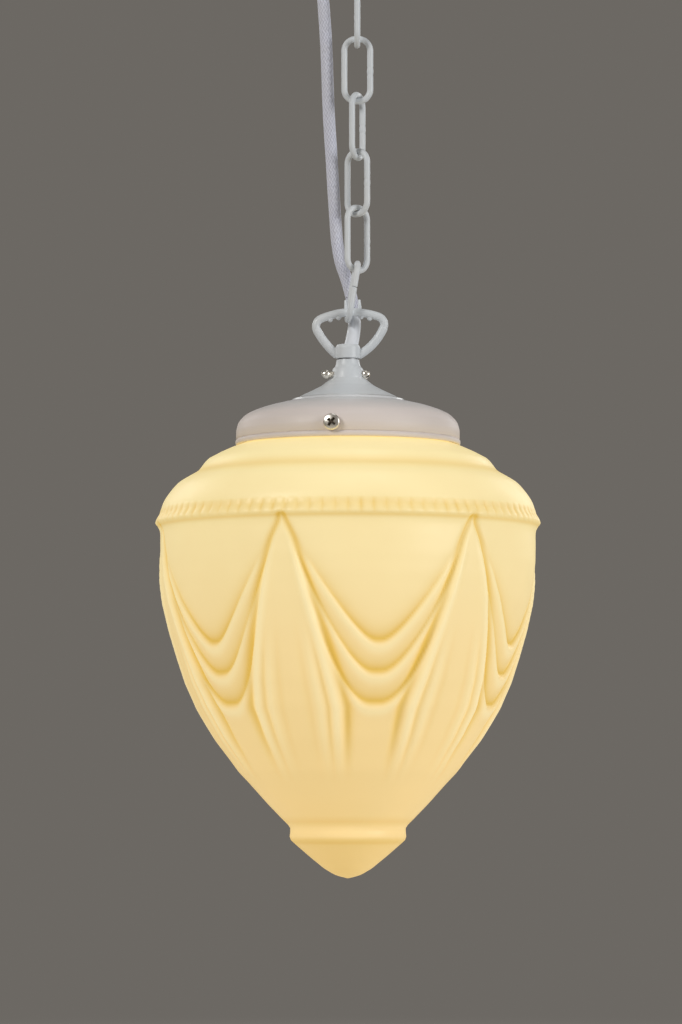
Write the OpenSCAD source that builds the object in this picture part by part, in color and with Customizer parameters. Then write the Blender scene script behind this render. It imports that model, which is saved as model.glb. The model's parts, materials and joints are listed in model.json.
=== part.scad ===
// Pendant ceiling light: a glass shade in a spun gallery, hung on a six-link
// chain from a ceiling hook, with a braided flex beside the chain.
// Millimetres. The origin is the centre of the ceiling face, +Z is up and
// -Y is the front. Heights below the ceiling are negative z.

/* [Ceiling fitting] */
// Diameter of the plate that is screwed to the ceiling
plate_d = 68; // [64:1:80]
// Distance between the plate's two screw holes
plate_hole_spacing = 51; // [48:1:54]
// Diameter of the plate's screw holes
plate_hole_d = 4.5; // [3.5:0.1:5]
// Diameter of the cup that covers the fitting
cup_d = 96; // [92:1:110]
// Depth of the cup
cup_depth = 24; // [24:1:26]
// Wire diameter of the ceiling hook
hook_wire_d = 4.4; // [4:0.1:4.8]

/* [Chain] */
// Wire diameter of the links
wire_d = 3; // [2.6:0.1:3.2]
// Distance between the wire centres at the two ends of a link
link_len = 31.2; // [30:0.1:33]
// Distance between the centres of a link's two legs
link_width = 12.8; // [12:0.1:14]
// The same end-to-end distance on the open link that carries the lamp
last_link_len = 28.2; // [27:0.1:30]
// Sideways lean of the open link
last_link_lean = 9.5; // [8:0.5:10]

/* [Flex] */
// Outside diameter of the braided three-core flex
flex_d = 6; // [5.4:0.1:6.2]
// Diameter of one insulated core
core_d = 2.2; // [1.8:0.1:2.4]

/* [Gallery] */
// Outside diameter of the gallery's skirt
gallery_d = 109.8; // [109:0.1:111]
// Sheet thickness of the gallery and the ceiling cup
sheet = 1; // [0.8:0.1:1.2]
// Thread diameter of the three shade screws
shade_screw_d = 4; // [3:0.5:4]
// How far left of straight ahead the front shade screw sits
screw_offset = 8; // [0:1:20]

/* [Glass shade] */
// Wall thickness of the glass
glass_t = 3.5; // [2.5:0.1:4]

/* [Bulb] */
// Diameter of the bulb's globe
bulb_d = 60; // [50:1:60]

/* [Hidden] */
$fn = 64;

wire_r = wire_d / 2;
flex_r = flex_d / 2;
fit = 0.05;              // clearance of a thread or a pin in its hole
lap = 0.2;               // how far the stretches of a bent bar run into each other
lap_a = 2;               // the same, as an angle
lap_r = 0.05;            // difference in radius where two such stretches meet

// Ceiling fitting
plate_t = 2;
boss_depth = 8;
boss_d = 14;
hook_r = hook_wire_d / 2;
hook_shank_r = 2.5;
hook_ring_r = 7;         // radius of the hook's bowl, at the wire's centre
hook_bend_r = 4;         // radius of the bend between shank and bowl
hook_flat = 1;           // short straight stretch at the bottom of the bowl
hook_z = -46;            // wire centre at the bottom of the bowl
bowl_z = hook_z + hook_ring_r;
bend_z = bowl_z + sqrt(pow(hook_ring_r + hook_bend_r, 2) - pow(hook_bend_r - hook_flat / 2, 2));
bend_a = acos((hook_bend_r - hook_flat / 2) / (hook_ring_r + hook_bend_r));
cup_r = cup_d / 2;
cup_gap = 1;             // gap between the cup's rim and the ceiling
cup_flat_r = 26;         // radius of the flat bottom of the cup
cup_rim_h = 6;
gland_x = -19;
gland_y = 4;
gland_r = 5;
block_y = 22;

// Chain: every link hangs on the bottom of the one above it
seat_gap = 0.15;         // play between two links
last_seat_gap = 0.4;     // play above the open link
link_bow = 1;            // short straight stretch at each end of a link
link_yaws = [90, 0, 66, -41, 41, 95];
pitch = link_len - wire_d - seat_gap;
link_top_1 = hook_z + hook_r + wire_r + seat_gap;
link_top_6 = link_top_1 - 4 * pitch - link_len + wire_d + last_seat_gap;
lamp_x = -last_link_len * sin(last_link_lean);
lamp_z = link_top_6 - last_link_len * cos(last_link_lean);
link_joint_z = link_top_6 - 12.5;   // where the open link's wire ends meet

// Hook loop: an arched bar over two curved arms that run down to a collar
loop_tilt = -2;          // of the bar and the arms, round the open link
bar_shift = 1;           // of the bar's middle, to the right of the open link
bar_r = 2;
arm_r = 2.15;
arch_r = 39;
corner_r = 4.2;
corner_x = 12.6;
bar_z = lamp_z + wire_r + 0.2 + bar_r;
arch_z = bar_z - arch_r;
corner_z = arch_z + sqrt(pow(arch_r - corner_r, 2) - pow(corner_x, 2));
corner_top_a = acos(corner_x / (arch_r - corner_r));
arm_a = 26;              // the arms' slope from upright at the corners
arm_foot = [5.2, -227.5];
tooth_pitch = 4.5;
tooth_r = 1.3;
tooth_start = 1.3;       // the first tooth stands clear of the link, in pitches
tooth_arch_r = arch_r - bar_r;
horn_places = [-0.8, 6];
collar_top_z = -222;
collar_z = -229.2;       // underside of the collar
collar_r = 6;
nipple_r = 4;
nipple_top_z = -226.6;
nipple_end_z = -250;

// Gallery
hub_top_z = -229.9;
hub_z = -239.1;          // underside of the hub, top of the gallery
hub_r = 8.7;
gallery_r = gallery_d / 2;
rim_z = -272;
hem_r = 0.8;
shade_screw_r = shade_screw_d / 2;
shade_screw_z = -265.4;
shade_screw_angles = [for (k = [0:2]) 270 - screw_offset - 120 * k];
neck_screw_z = -237.3;
neck_screw_r = 1.5;
neck_head_r = 2.2;
// Azimuth of each neck screw, and where the underside of its head stands
neck_screw_places = [[205, 12], [338, 9.6], [98, 9.8]];

// Lampholder and bulb, heights of the faces between the pieces
holder_top_z = -245.2;
holder_mid_z = -262;
holder_end_z = -290;
holder_r = 19.5;
holder_wall = 1.8;
terminal_x = 9;
terminal_top_z = holder_mid_z + 8;
core_seat_r = 1.4;       // distance of each core from the nipple's axis
core_ends = [[-8, 0, terminal_top_z + 1.2], [8, 0, terminal_top_z + 1.2], [1, 9, -254.5]];
thread_r = 13.4;         // inside of the lampholder's screw thread
bulb_cap_r = 13.1;
bulb_top_z = -264.6;
cap_end_z = -288;
bulb_r = bulb_d / 2;
globe_z = -338;
bulb_neck_z = -309.5;    // where the bulb's neck has opened out to its shoulder
bulb_wall = 0.8;
stem_end_z = -318;
filament_low_z = -345;
filament_len = 32;

// The shade's neck, under the skirt
lip_r = 50.3;
neck_r = 48;
lip_top_z = -259.8;

// Route of the flex, from inside the cup to the mouth of the collar
flex_route = [
    [-19, 4, -18], [-18.6, 4, -32], [-17.2, 4.4, -46], [-16.2, 5, -59],
    [-15.6, 5.5, -68], [-15.1, 6, -78], [-14.8, 6.4, -87],
    [-14.5, 6.8, -96], [-14.1, 7, -106], [-13.6, 7.2, -115],
    [-13, 7.5, -124], [-12.4, 7.8, -134], [-11.9, 8.1, -143],
    [-11.3, 8.6, -152], [-10.6, 9.2, -162], [-9.8, 10, -171],
    [-8.2, 11.2, -180], [-5.3, 12.2, -188.5], [-2.9, 12.5, -197.5],
    [-2, 11.3, -205], [-1.4, 8.6, -211], [-2, 4.9, -217],
    [-3, 1.5, -222.2], [-3.8, 0.2, -225]
];
// First and last route point of each length of flex, one to a chain joint
flex_cuts = [0, 3, 6, 9, 12, 15, 18, 23];
flex_sides = 10;
sleeve_from = 19;        // route point that the sleeve starts just below
sleeve_start = 0.62;     // how far it starts below that point, as a share of the way to the next

// ---------------------------------------------------------------- helpers

// A list of points made smooth, with n steps between neighbours
function catmull(a, b, c, d, t) =
    0.5 * ((2 * b) + (c - a) * t + (2 * a - 5 * b + 4 * c - d) * t * t
        + (3 * b - a - 3 * c + d) * t * t * t);
function smooth(p, n) = let (last = len(p) - 1) concat(
    [for (i = [0:last - 1], k = [0:n - 1])
        catmull(p[max(i - 1, 0)], p[i], p[i + 1], p[min(i + 2, last)], k / n)],
    [p[last]]);

// A [radius, height] outline moved inwards by t, across its own direction
function inward(p, t) = let (last = len(p) - 1)
    [for (i = [0:last]) let (
        d = p[min(i + 1, last)] - p[max(i - 1, 0)],
        n = [d[1], -d[0]] / norm(d))
        [max(p[i][0] + n[0] * t, 0), p[i][1] + n[1] * t]];
function backwards(p) = [for (i = [len(p) - 1:-1:0]) p[i]];

// A spun shell of thickness t, from its outer outline
module spun(outline, t) {
    rotate_extrude()
        polygon(concat(outline, backwards(inward(outline, t))));
}

// A round tube swept along route points p, with one radius per point, or over
// its points first to end. The route never runs along the direction across.
module sweep(p, radii, sides, across = [0, 1, 0], first = 0, end = undef) {
    stop = is_undef(end) ? len(p) - 1 : end;
    last = stop - first;
    rings = [for (i = [first:stop]) let (
        d = p[min(i + 1, len(p) - 1)] - p[max(i - 1, 0)],
        u = cross(d, across) / norm(cross(d, across)),
        v = cross(u, d) / norm(d))
        [for (k = [0:sides - 1]) let (a = 360 * k / sides)
            p[i] + radii[i] * (u * cos(a) + v * sin(a))]];
    polyhedron(
        points = [for (ring = rings) each ring],
        faces = concat(
            [[for (k = [0:sides - 1]) sides - 1 - k]],
            [for (i = [0:last - 1], k = [0:sides - 1]) let (j = (k + 1) % sides)
                [i * sides + k, i * sides + j, (i + 1) * sides + j, (i + 1) * sides + k]],
            [[for (k = [0:sides - 1]) last * sides + k]]));
}

// An arc of round bar in the XZ plane, from angle a over angle span
module arc_bar(ring_r, r, a, span) {
    rotate([90, 0, 0]) rotate([0, 0, a])
        rotate_extrude(angle = span) translate([ring_r, 0]) circle(r = r);
}

// A cylinder from a point on the axis that runs outward at an azimuth
module radial(azimuth, z, from, to, r) {
    translate([lamp_x, 0, z]) rotate([0, 0, azimuth]) rotate([0, 90, 0])
        translate([0, 0, from]) cylinder(r = r, h = to - from);
}

module ring(r_out, r_in, z_low, z_high) {
    translate([0, 0, z_low]) difference() {
        cylinder(r = r_out, h = z_high - z_low);
        translate([0, 0, -1]) cylinder(r = r_in, h = z_high - z_low + 2);
    }
}

module at_lamp() {
    translate([lamp_x, 0, 0]) children();
}

// --------------------------------------------------------- ceiling fitting

module ceiling_plate() {
    color("silver") difference() {
        union() {
            translate([0, 0, -plate_t]) cylinder(d = plate_d, h = plate_t);
            translate([0, 0, -boss_depth]) cylinder(d = boss_d, h = boss_depth - plate_t);
        }
        for (side = [-1, 1])
            translate([side * plate_hole_spacing / 2, 0, -plate_t - 1])
                cylinder(d = plate_hole_d, h = plate_t + 2);
        translate([0, 0, -boss_depth - 1])
            cylinder(r = hook_shank_r + fit, h = boss_depth - plate_t + 1);
    }
}

module ceiling_hook() {
    half = hook_flat / 2;
    color("white") {
        translate([0, 0, bend_z - lap])
            cylinder(r = hook_shank_r, h = lap - bend_z - plate_t - 0.5);
        translate([-hook_bend_r, 0, bend_z])
            arc_bar(hook_bend_r, hook_shank_r - lap_r, -bend_a - lap_a, bend_a + lap_a);
        translate([-half, 0, bowl_z]) arc_bar(hook_ring_r, hook_r, 180 - bend_a, 90 + bend_a);
        translate([-half - lap, 0, hook_z]) rotate([0, 90, 0])
            cylinder(r = hook_r + lap_r, h = hook_flat + 2 * lap);
        translate([half, 0, bowl_z]) arc_bar(hook_ring_r, hook_r, 270, 125);
    }
}

module hook_nut() {
    color("silver") difference() {
        translate([0, 0, -boss_depth - 4]) cylinder(d = 9.2, h = 4, $fn = 6);
        translate([0, 0, -boss_depth - 5]) cylinder(r = hook_shank_r + fit, h = 6);
    }
}

module ceiling_cup() {
    depth = cup_depth - cup_gap - cup_rim_h;
    outline = concat(
        [[cup_r, -cup_gap]],
        [for (a = [0:10:90]) [
            cup_flat_r + (cup_r - cup_flat_r) * cos(a),
            -cup_gap - cup_rim_h - depth * sin(a)]],
        [[hook_shank_r + 0.4, -cup_depth]]);
    color("whitesmoke") difference() {
        spun(outline, sheet);
        translate([gland_x, gland_y, -cup_depth - 1]) cylinder(r = gland_r + fit, h = sheet + 2);
    }
}

module cup_nut() {
    color("silver") difference() {
        translate([0, 0, -cup_depth - 3.6]) union() {
            cylinder(d = 10, h = 3.6);
            translate([0, 0, 0.6]) cylinder(d = 11.4, h = 2.4);
        }
        translate([0, 0, -cup_depth - 5]) cylinder(r = hook_shank_r + fit, h = 6);
    }
}

// Strain relief: a flanged bush in the cup, with a tapered tail on the flex
module cup_gland() {
    tail = [for (i = [0:2]) flex_route[i]];
    color("whitesmoke") difference() {
        union() {
            translate([gland_x, gland_y, -cup_depth]) cylinder(r = gland_r, h = 4);
            translate([gland_x, gland_y, -cup_depth - 2.5]) cylinder(r = gland_r + 2, h = 2.5);
            sweep([[gland_x, gland_y, -cup_depth - 1], flex_route[1], flex_route[2]],
                [gland_r, 4.2, 3.6], 24);
        }
        sweep([tail[0], tail[1], tail[2], 2 * tail[2] - tail[1]],
            [for (i = [0:3]) flex_r + 0.15], 24);
    }
}

module terminal_block() {
    color("ivory") difference() {
        translate([-15, block_y - 8, -plate_t - 13]) cube([30, 16, 13]);
        for (k = [-1:1]) {
            translate([k * 9, block_y - 9, -9]) rotate([-90, 0, 0]) cylinder(r = 2, h = 18);
            translate([k * 9, block_y - 4, -16]) cylinder(r = 1.8, h = 7);
        }
    }
}

module block_screws() {
    color("gold") for (k = [-1:1])
        translate([k * 9, block_y - 4, -14.5]) cylinder(r = 1.7, h = 3.6);
}

// The three cores, from the end of the flex to the terminal block
module cup_cores() {
    colors = ["saddlebrown", "royalblue", "yellowgreen"];
    for (k = [-1:1]) color(colors[k + 1])
        sweep([[gland_x + 1.3 * k, gland_y + 0.8 * k * k, flex_route[0][2] + 0.4],
            [gland_x + 1.3 * k + 1, gland_y + 2, -13],
            [-14 + 5 * k, 9, -10], [9 * k, block_y - 10, -9],
            [9 * k, block_y - 3.8, -9]],
            [for (i = [0:4]) core_d / 2 - 0.1], 8, [0, 0, 1]);
}

// ------------------------------------------------------------------- chain

// A round-wire link in the XZ plane, hanging from the wire centre at its top
module link(length) {
    bend_r = (link_width - link_bow) / 2;
    for (up = [0, 1]) mirror([0, 0, up]) translate([0, 0, up * length]) {
        for (side = [0, 1]) mirror([side, 0, 0])
            translate([link_bow / 2, 0, bend_r - length]) arc_bar(bend_r, wire_r, 270, 90);
        translate([-link_bow / 2, 0, -length]) rotate([0, 90, 0])
            cylinder(r = wire_r, h = link_bow);
    }
    for (side = [-1, 1]) translate([side * link_width / 2, 0, bend_r - length])
        cylinder(r = wire_r, h = length - 2 * bend_r);
}

module chain_link(k) {
    color("gainsboro") translate([0, 0, link_top_1 - (k - 1) * pitch])
        rotate([0, 0, link_yaws[k - 1]]) link(link_len);
}

// The open link: its wire ends meet with a fine gap in the front leg
module open_link() {
    color("gainsboro") translate([0, 0, link_top_6]) rotate([0, last_link_lean, 0])
        rotate([0, 0, link_yaws[5]]) difference() {
            link(last_link_len);
            translate([-link_width / 2 - 3, -3, link_joint_z - link_top_6])
                cube([6, 6, 0.35]);
        }
}

// -------------------------------------------------------------------- flex

module flex(k) {
    color("lavender") sweep(flex_route, [for (p = flex_route) flex_r], flex_sides,
        first = flex_cuts[k - 1], end = flex_cuts[k]);
}

// Tapered sleeve over the last of the flex, where it enters the collar
module flex_sleeve() {
    points = [for (i = [1:3]) flex_route[sleeve_from + i]];
    start = (1 - sleeve_start) * flex_route[sleeve_from] + sleeve_start * points[0];
    color("white") sweep(concat([start], points), [3.15, 3.2, 3.3, 3.45], 24);
}

// --------------------------------------------------------------- hook loop

// One arm and one corner, on the right or, mirrored, on the left, round the
// open link's bottom wire. The arm is the arc that leaves the corner smoothly
// and ends at the foot.
module loop_side(side) {
    x = side * arm_foot[0];
    z = arm_foot[1] - lamp_z;
    foot = [side * (x * cos(loop_tilt) - z * sin(loop_tilt)),
        x * sin(loop_tilt) + z * cos(loop_tilt)];
    corner = [corner_x + side * bar_shift, corner_z - lamp_z];
    top = corner + corner_r * [cos(arm_a), -sin(arm_a)];
    half_turn = atan2(top[0] - foot[0], top[1] - foot[1]) - arm_a;
    bend_r = norm(top - foot) / 2 / sin(half_turn);
    bend = top - bend_r * [cos(arm_a), -sin(arm_a)];
    translate([corner[0], 0, corner[1]])
        arc_bar(corner_r, bar_r, -arm_a, corner_top_a + arm_a);
    translate([bend[0], 0, bend[1]])
        arc_bar(bend_r, arm_r, -arm_a - 2 * half_turn, 2 * half_turn + lap / 2);
}

module hook_loop() {
    arch = arch_z - lamp_z;
    color("gainsboro") at_lamp() difference() {
        union() {
            translate([0, 0, lamp_z]) rotate([0, loop_tilt, 0]) {
                translate([bar_shift, 0, arch])
                    arc_bar(arch_r, bar_r + lap_r, corner_top_a - 0.3, 180.6 - 2 * corner_top_a);
                loop_side(1);
                mirror([1, 0, 0]) loop_side(-1);
                for (side = [-1, 1], k = [0:1])
                    let (a = 90 - side * (k + tooth_start) * 2 * asin(tooth_pitch / 2 / arch_r))
                    translate([bar_shift + tooth_arch_r * cos(a), 0, arch + tooth_arch_r * sin(a)])
                        sphere(r = tooth_r);
                for (x = horn_places) translate([x, 1, arch + arch_r + bar_r - 0.6])
                    rotate([-8, 0, 0]) cylinder(r1 = 1, r2 = 0.6, h = 5);
            }
            rotate_extrude() polygon([
                [0, collar_z], [collar_r, collar_z], [collar_r, collar_top_z - 1.6],
                [collar_r - 0.5, collar_top_z - 0.6], [collar_r - 1.2, collar_top_z],
                [0, collar_top_z]]);
        }
        translate([0, 0, collar_z - 1]) cylinder(r = nipple_r + fit, h = 1 - collar_z + nipple_top_z);
        translate([0, 0, nipple_top_z - 0.01])
            cylinder(r1 = nipple_r + fit, r2 = 5, h = collar_top_z - nipple_top_z + 0.02);
        translate([0, 0, collar_top_z]) cylinder(r = 5, h = 3);
    }
}

module loop_washer() {
    color("silver") at_lamp() ring(4.9, nipple_r + fit, hub_top_z, collar_z);
}

module nipple() {
    color("gold") at_lamp() ring(nipple_r, 2.9, nipple_end_z, nipple_top_z);
}

// ----------------------------------------------------------------- gallery

module hub() {
    color("gainsboro") difference() {
        at_lamp() rotate_extrude() polygon([
            [nipple_r + fit, hub_z], [hub_r, hub_z], [hub_r - 0.1, hub_z + 0.8], [8, -236.1],
            [7.3, -234.2], [6.4, -233.2], [6, -232.2], [5.8, -231.3], [5.6, hub_top_z],
            [nipple_r + fit, hub_top_z]]);
        for (place = neck_screw_places)
            radial(place[0], neck_screw_z, 0, 10, neck_screw_r + fit);
    }
}

// Slotted cheese-head screws that lock the hub on the nipple
module neck_screws() {
    color("silver") for (place = neck_screw_places) difference() {
        union() {
            radial(place[0], neck_screw_z, nipple_r + 0.15, place[1] + 0.5, neck_screw_r);
            radial(place[0], neck_screw_z, place[1], place[1] + neck_head_r, neck_head_r);
        }
        translate([lamp_x, 0, neck_screw_z]) rotate([0, 0, place[0]])
            translate([place[1] + 1.4, -3, -0.3]) cube([2, 6, 0.6]);
    }
}

module gallery() {
    top = [[nipple_r + fit, hub_z], [hub_r, hub_z]];
    shoulder = smooth([[hub_r, hub_z], [13.2, -242.8], [21.6, -247], [28, -250.1],
        [39, -252.9], [45.1, -254.9], [49.5, -256.9], [52.1, -259], [54, -261.6],
        [gallery_r, -265]], 2);
    outline = concat(top, [for (i = [1:len(shoulder) - 1]) shoulder[i]],
        [[gallery_r, rim_z + hem_r]]);
    color("gainsboro") difference() {
        union() {
            at_lamp() spun(outline, sheet);
            at_lamp() translate([0, 0, rim_z + hem_r]) rotate_extrude()
                translate([gallery_r - 0.4, 0]) circle(r = hem_r);
        }
        for (a = shade_screw_angles)
            radial(a, shade_screw_z, neck_r, gallery_r + 2, shade_screw_r + fit);
    }
}

// Threaded bosses for the shade screws, welded inside the skirt
module screw_nuts() {
    color("silver") for (a = shade_screw_angles) difference() {
        radial(a, shade_screw_z, lip_r + 0.7, gallery_r - sheet - 0.8, 3);
        radial(a, shade_screw_z, neck_r, gallery_r + 2, shade_screw_r + fit);
    }
}

// Pan-head screw: its tip stands just clear of the glass neck, under the lip
module shade_screw(k) {
    a = shade_screw_angles[k - 1];
    head_from = gallery_r + 0.9;
    color("silver") difference() {
        union() {
            radial(a, shade_screw_z, neck_r + 0.15, head_from + 0.2, shade_screw_r);
            translate([lamp_x, 0, shade_screw_z]) rotate([0, 0, a]) rotate([0, 90, 0])
                translate([0, 0, head_from]) rotate_extrude() polygon([
                    [0, 0], [4, 0], [4, 1.1], [3.5, 1.9], [2.4, 2.5], [0, 2.8]]);
        }
        translate([lamp_x, 0, shade_screw_z]) rotate([0, 0, a])
            for (turn = [45, 135]) translate([head_from + 1.3, 0, 0]) rotate([turn, 0, 0])
                translate([0, -2, -0.45]) cube([2, 4, 0.9]);
    }
}

module earth_tag() {
    color("silver") at_lamp() translate([0, 0, hub_z - sheet - 0.9]) difference() {
        union() {
            cylinder(r = 6.2, h = 0.8);
            translate([-2, 4, 0]) cube([4, 2.6, 0.8]);
        }
        translate([0, 0, -1]) cylinder(r = nipple_r + fit, h = 3);
    }
}

module lock_nut() {
    color("gold") at_lamp() difference() {
        translate([0, 0, hub_z - sheet - 4.4]) cylinder(d = 14, h = 3.5, $fn = 6);
        translate([0, 0, hub_z - sheet - 5]) cylinder(r = nipple_r + fit, h = 6);
    }
}

// -------------------------------------------------------------- lampholder

module holder_cap() {
    outline = [[nipple_r + fit, holder_top_z], [7, holder_top_z],
        [8, holder_top_z - 1], [16.5, -249.6], [18.8, -252], [holder_r, -256],
        [holder_r, holder_mid_z]];
    color("ivory") at_lamp() spun(outline, holder_wall);
}

module holder_insert() {
    color("white") at_lamp() difference() {
        translate([0, 0, holder_mid_z + 0.5]) cylinder(r = 17.2, h = 3);
        for (side = [-1, 1]) translate([side * terminal_x, 0, holder_mid_z - 1])
            cylinder(r = 1.6, h = 6);
    }
}

module holder_thread() {
    color("gold") at_lamp() {
        ring(thread_r + 0.7, thread_r, holder_end_z + 4, holder_mid_z - 0.4);
        ring(thread_r + 0.7, 9.5, holder_mid_z - 0.4, holder_mid_z + 0.5);
    }
}

// Sprung tongue that meets the bulb's centre contact
module holder_contact() {
    color("gold") at_lamp() {
        translate([-4, -3, holder_mid_z - 0.5]) cube([8, 6, 1]);
        translate([0, 0, bulb_top_z + 0.05])
            cylinder(r = 2.4, h = holder_mid_z - 0.5 - bulb_top_z - 0.05);
    }
}

module holder_terminals() {
    color("gold") at_lamp() for (side = [-1, 1]) difference() {
        translate([side * terminal_x - 2.5, -3, holder_mid_z + 3.5])
            cube([5, 6, terminal_top_z - holder_mid_z - 3.5]);
        translate([side * terminal_x, 0, holder_mid_z + 5.5]) rotate([90, 0, 0])
            cylinder(r = 1.2, h = 8, center = true);
    }
}

module holder_shell() {
    outline = [[holder_r, holder_mid_z], [holder_r, holder_end_z + 3],
        [holder_r - 0.6, holder_end_z + 1], [holder_r - 1.4, holder_end_z]];
    color("ivory") at_lamp() spun(outline, holder_wall);
}

// A core from the flex's end, down the nipple's bore, to its terminal
module core(angle, end) {
    side = core_seat_r * [cos(angle), sin(angle)];
    at_lamp() sweep([[side[0], side[1], nipple_top_z], [side[0], side[1], -238],
        [side[0], side[1], nipple_end_z - 0.3], end],
        [for (i = [0:3]) core_d / 2], 8);
}

module core_live() {
    color("saddlebrown") core(210, core_ends[0]);
}

module core_neutral() {
    color("royalblue") core(330, core_ends[1]);
}

module core_earth() {
    color("yellowgreen") core(90, core_ends[2]);
}

// ------------------------------------------------------------- glass shade

module glass_shade() {
    // Radius and drop below the gallery's rim, from the skirt to the tip
    shoulder = [[neck_r, -3.6], [49.2, -1.4], [57.1, 1.5], [68.8, 7.3], [73.7, 13.2]];
    upper = [[83.3, 19.1], [90.2, 27.9], [92.3, 34.5], [94.3, 38.6], [92.1, 43.2]];
    body = [[91.9, 58], [89.4, 77.9], [82.3, 104.3], [73, 129], [53.2, 160.2], [28.5, 187]];
    foot = [[28.2, 189.6], [28.4, 192.5], [25.7, 195.5], [11.8, 207.2], [5, 210.9]];
    bowl = smooth([for (p = concat(shoulder, upper, body, foot)) [p[0], rim_z - p[1]]], 2);
    outline = concat([[lip_r, lip_top_z], [lip_r, -261.6], [neck_r, -262.6]], bowl);
    tip = rim_z - 212.1;
    inside = inward(bowl, glass_t);
    color("lemonchiffon", 0.6) at_lamp() rotate_extrude() polygon(concat(
        outline, [[0, tip], [0, tip + glass_t]], backwards(inside),
        [[neck_r - glass_t, lip_top_z]]));
}

// -------------------------------------------------------------------- bulb

module bulb_cap() {
    outline = [[6, bulb_top_z - 3.2], [12, bulb_top_z - 5.5], [bulb_cap_r, bulb_top_z - 6.5],
        [bulb_cap_r, cap_end_z]];
    color("gold") at_lamp() spun(outline, 0.5);
}

module bulb_insulator() {
    color("dimgray") at_lamp() rotate_extrude() polygon([
        [0, bulb_top_z - 1.4], [4, bulb_top_z - 1.4], [5.7, bulb_top_z - 3],
        [5.4, bulb_top_z - 5], [0, bulb_top_z - 5]]);
}

module bulb_contact() {
    color("silver") at_lamp() rotate_extrude() polygon([
        [0, bulb_top_z - 1.4], [3.4, bulb_top_z - 1.4], [3, bulb_top_z - 0.5],
        [2, bulb_top_z], [0, bulb_top_z]]);
}

module bulb_globe() {
    globe = [for (a = [25:-12.5:-75]) [bulb_r * cos(a), globe_z + bulb_r * sin(a)]];
    outline = concat([[12.4, cap_end_z + 1], [12.8, cap_end_z - 6], [18, bulb_neck_z]], globe);
    inside = inward(outline, bulb_wall);
    color("floralwhite", 0.5) at_lamp() rotate_extrude() polygon(concat(
        outline, [[0, globe_z - bulb_r], [0, globe_z - bulb_r + bulb_wall]], backwards(inside)));
}

module bulb_stem() {
    color("white", 0.5) at_lamp() {
        translate([0, 0, cap_end_z]) cylinder(r = 11, h = 2);
        translate([0, 0, stem_end_z]) cylinder(r1 = 2, r2 = 5, h = cap_end_z - stem_end_z);
    }
}

module bulb_filaments() {
    color("orange") at_lamp() for (a = [45:90:315]) rotate([0, 0, a])
        translate([7, 0, filament_low_z]) rotate([0, 6, 0]) cylinder(r = 1, h = filament_len);
}

ceiling_plate();
ceiling_hook();
hook_nut();
ceiling_cup();
cup_nut();
cup_gland();
terminal_block();
block_screws();
cup_cores();
chain_link(1);  // link_1
chain_link(2);  // link_2
chain_link(3);  // link_3
chain_link(4);  // link_4
chain_link(5);  // link_5
open_link();  // link_6
flex(1);  // flex_1
flex(2);  // flex_2
flex(3);  // flex_3
flex(4);  // flex_4
flex(5);  // flex_5
flex(6);  // flex_6
flex(7);  // flex_7
flex_sleeve();
hook_loop();
loop_washer();
nipple();
hub();
neck_screws();
gallery();
screw_nuts();
earth_tag();
lock_nut();
holder_cap();
holder_insert();
holder_thread();
holder_contact();
holder_terminals();
holder_shell();
core_live();
core_neutral();
core_earth();
glass_shade();
shade_screw(1);  // shade_screw_1
shade_screw(2);  // shade_screw_2
shade_screw(3);  // shade_screw_3
bulb_cap();
bulb_insulator();
bulb_contact();
bulb_globe();
bulb_stem();
bulb_filaments();
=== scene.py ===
"""Pendant ceiling light: the looks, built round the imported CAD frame.

Metres, +Z up, the front towards -Y, the origin at the ceiling face.
"""
import json
import math

import bmesh
import bpy
import numpy as np
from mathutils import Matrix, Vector
from mathutils.bvhtree import BVHTree


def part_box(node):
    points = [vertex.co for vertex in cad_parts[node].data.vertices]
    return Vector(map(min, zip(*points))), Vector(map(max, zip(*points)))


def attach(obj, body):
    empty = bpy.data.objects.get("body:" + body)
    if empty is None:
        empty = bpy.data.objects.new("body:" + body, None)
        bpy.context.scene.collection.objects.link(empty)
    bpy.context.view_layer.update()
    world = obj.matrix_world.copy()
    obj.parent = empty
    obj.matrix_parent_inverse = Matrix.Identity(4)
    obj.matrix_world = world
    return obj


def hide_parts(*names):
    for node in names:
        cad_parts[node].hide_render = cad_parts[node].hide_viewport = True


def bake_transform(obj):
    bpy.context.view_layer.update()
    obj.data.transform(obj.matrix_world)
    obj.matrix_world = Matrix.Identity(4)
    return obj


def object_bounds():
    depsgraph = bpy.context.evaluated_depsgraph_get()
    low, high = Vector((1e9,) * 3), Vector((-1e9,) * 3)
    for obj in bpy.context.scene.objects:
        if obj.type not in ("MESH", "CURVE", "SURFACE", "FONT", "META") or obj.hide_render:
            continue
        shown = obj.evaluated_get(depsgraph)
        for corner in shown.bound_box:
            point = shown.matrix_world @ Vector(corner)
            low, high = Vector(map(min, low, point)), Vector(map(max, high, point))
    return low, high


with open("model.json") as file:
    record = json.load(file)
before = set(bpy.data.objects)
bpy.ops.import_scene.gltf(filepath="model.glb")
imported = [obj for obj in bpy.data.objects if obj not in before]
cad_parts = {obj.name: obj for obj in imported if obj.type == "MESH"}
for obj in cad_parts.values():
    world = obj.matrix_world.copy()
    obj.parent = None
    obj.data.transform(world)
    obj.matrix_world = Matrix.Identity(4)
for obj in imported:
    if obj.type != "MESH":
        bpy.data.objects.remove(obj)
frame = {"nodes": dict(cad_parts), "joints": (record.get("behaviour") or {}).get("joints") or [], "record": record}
cad_low, cad_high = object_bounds()
nodes = frame["nodes"]
joints = {joint["name"]: joint for joint in frame["joints"]}
slot_of = {part["node"]: part["material_slot"] for part in frame["record"]["subparts"]}

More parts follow.
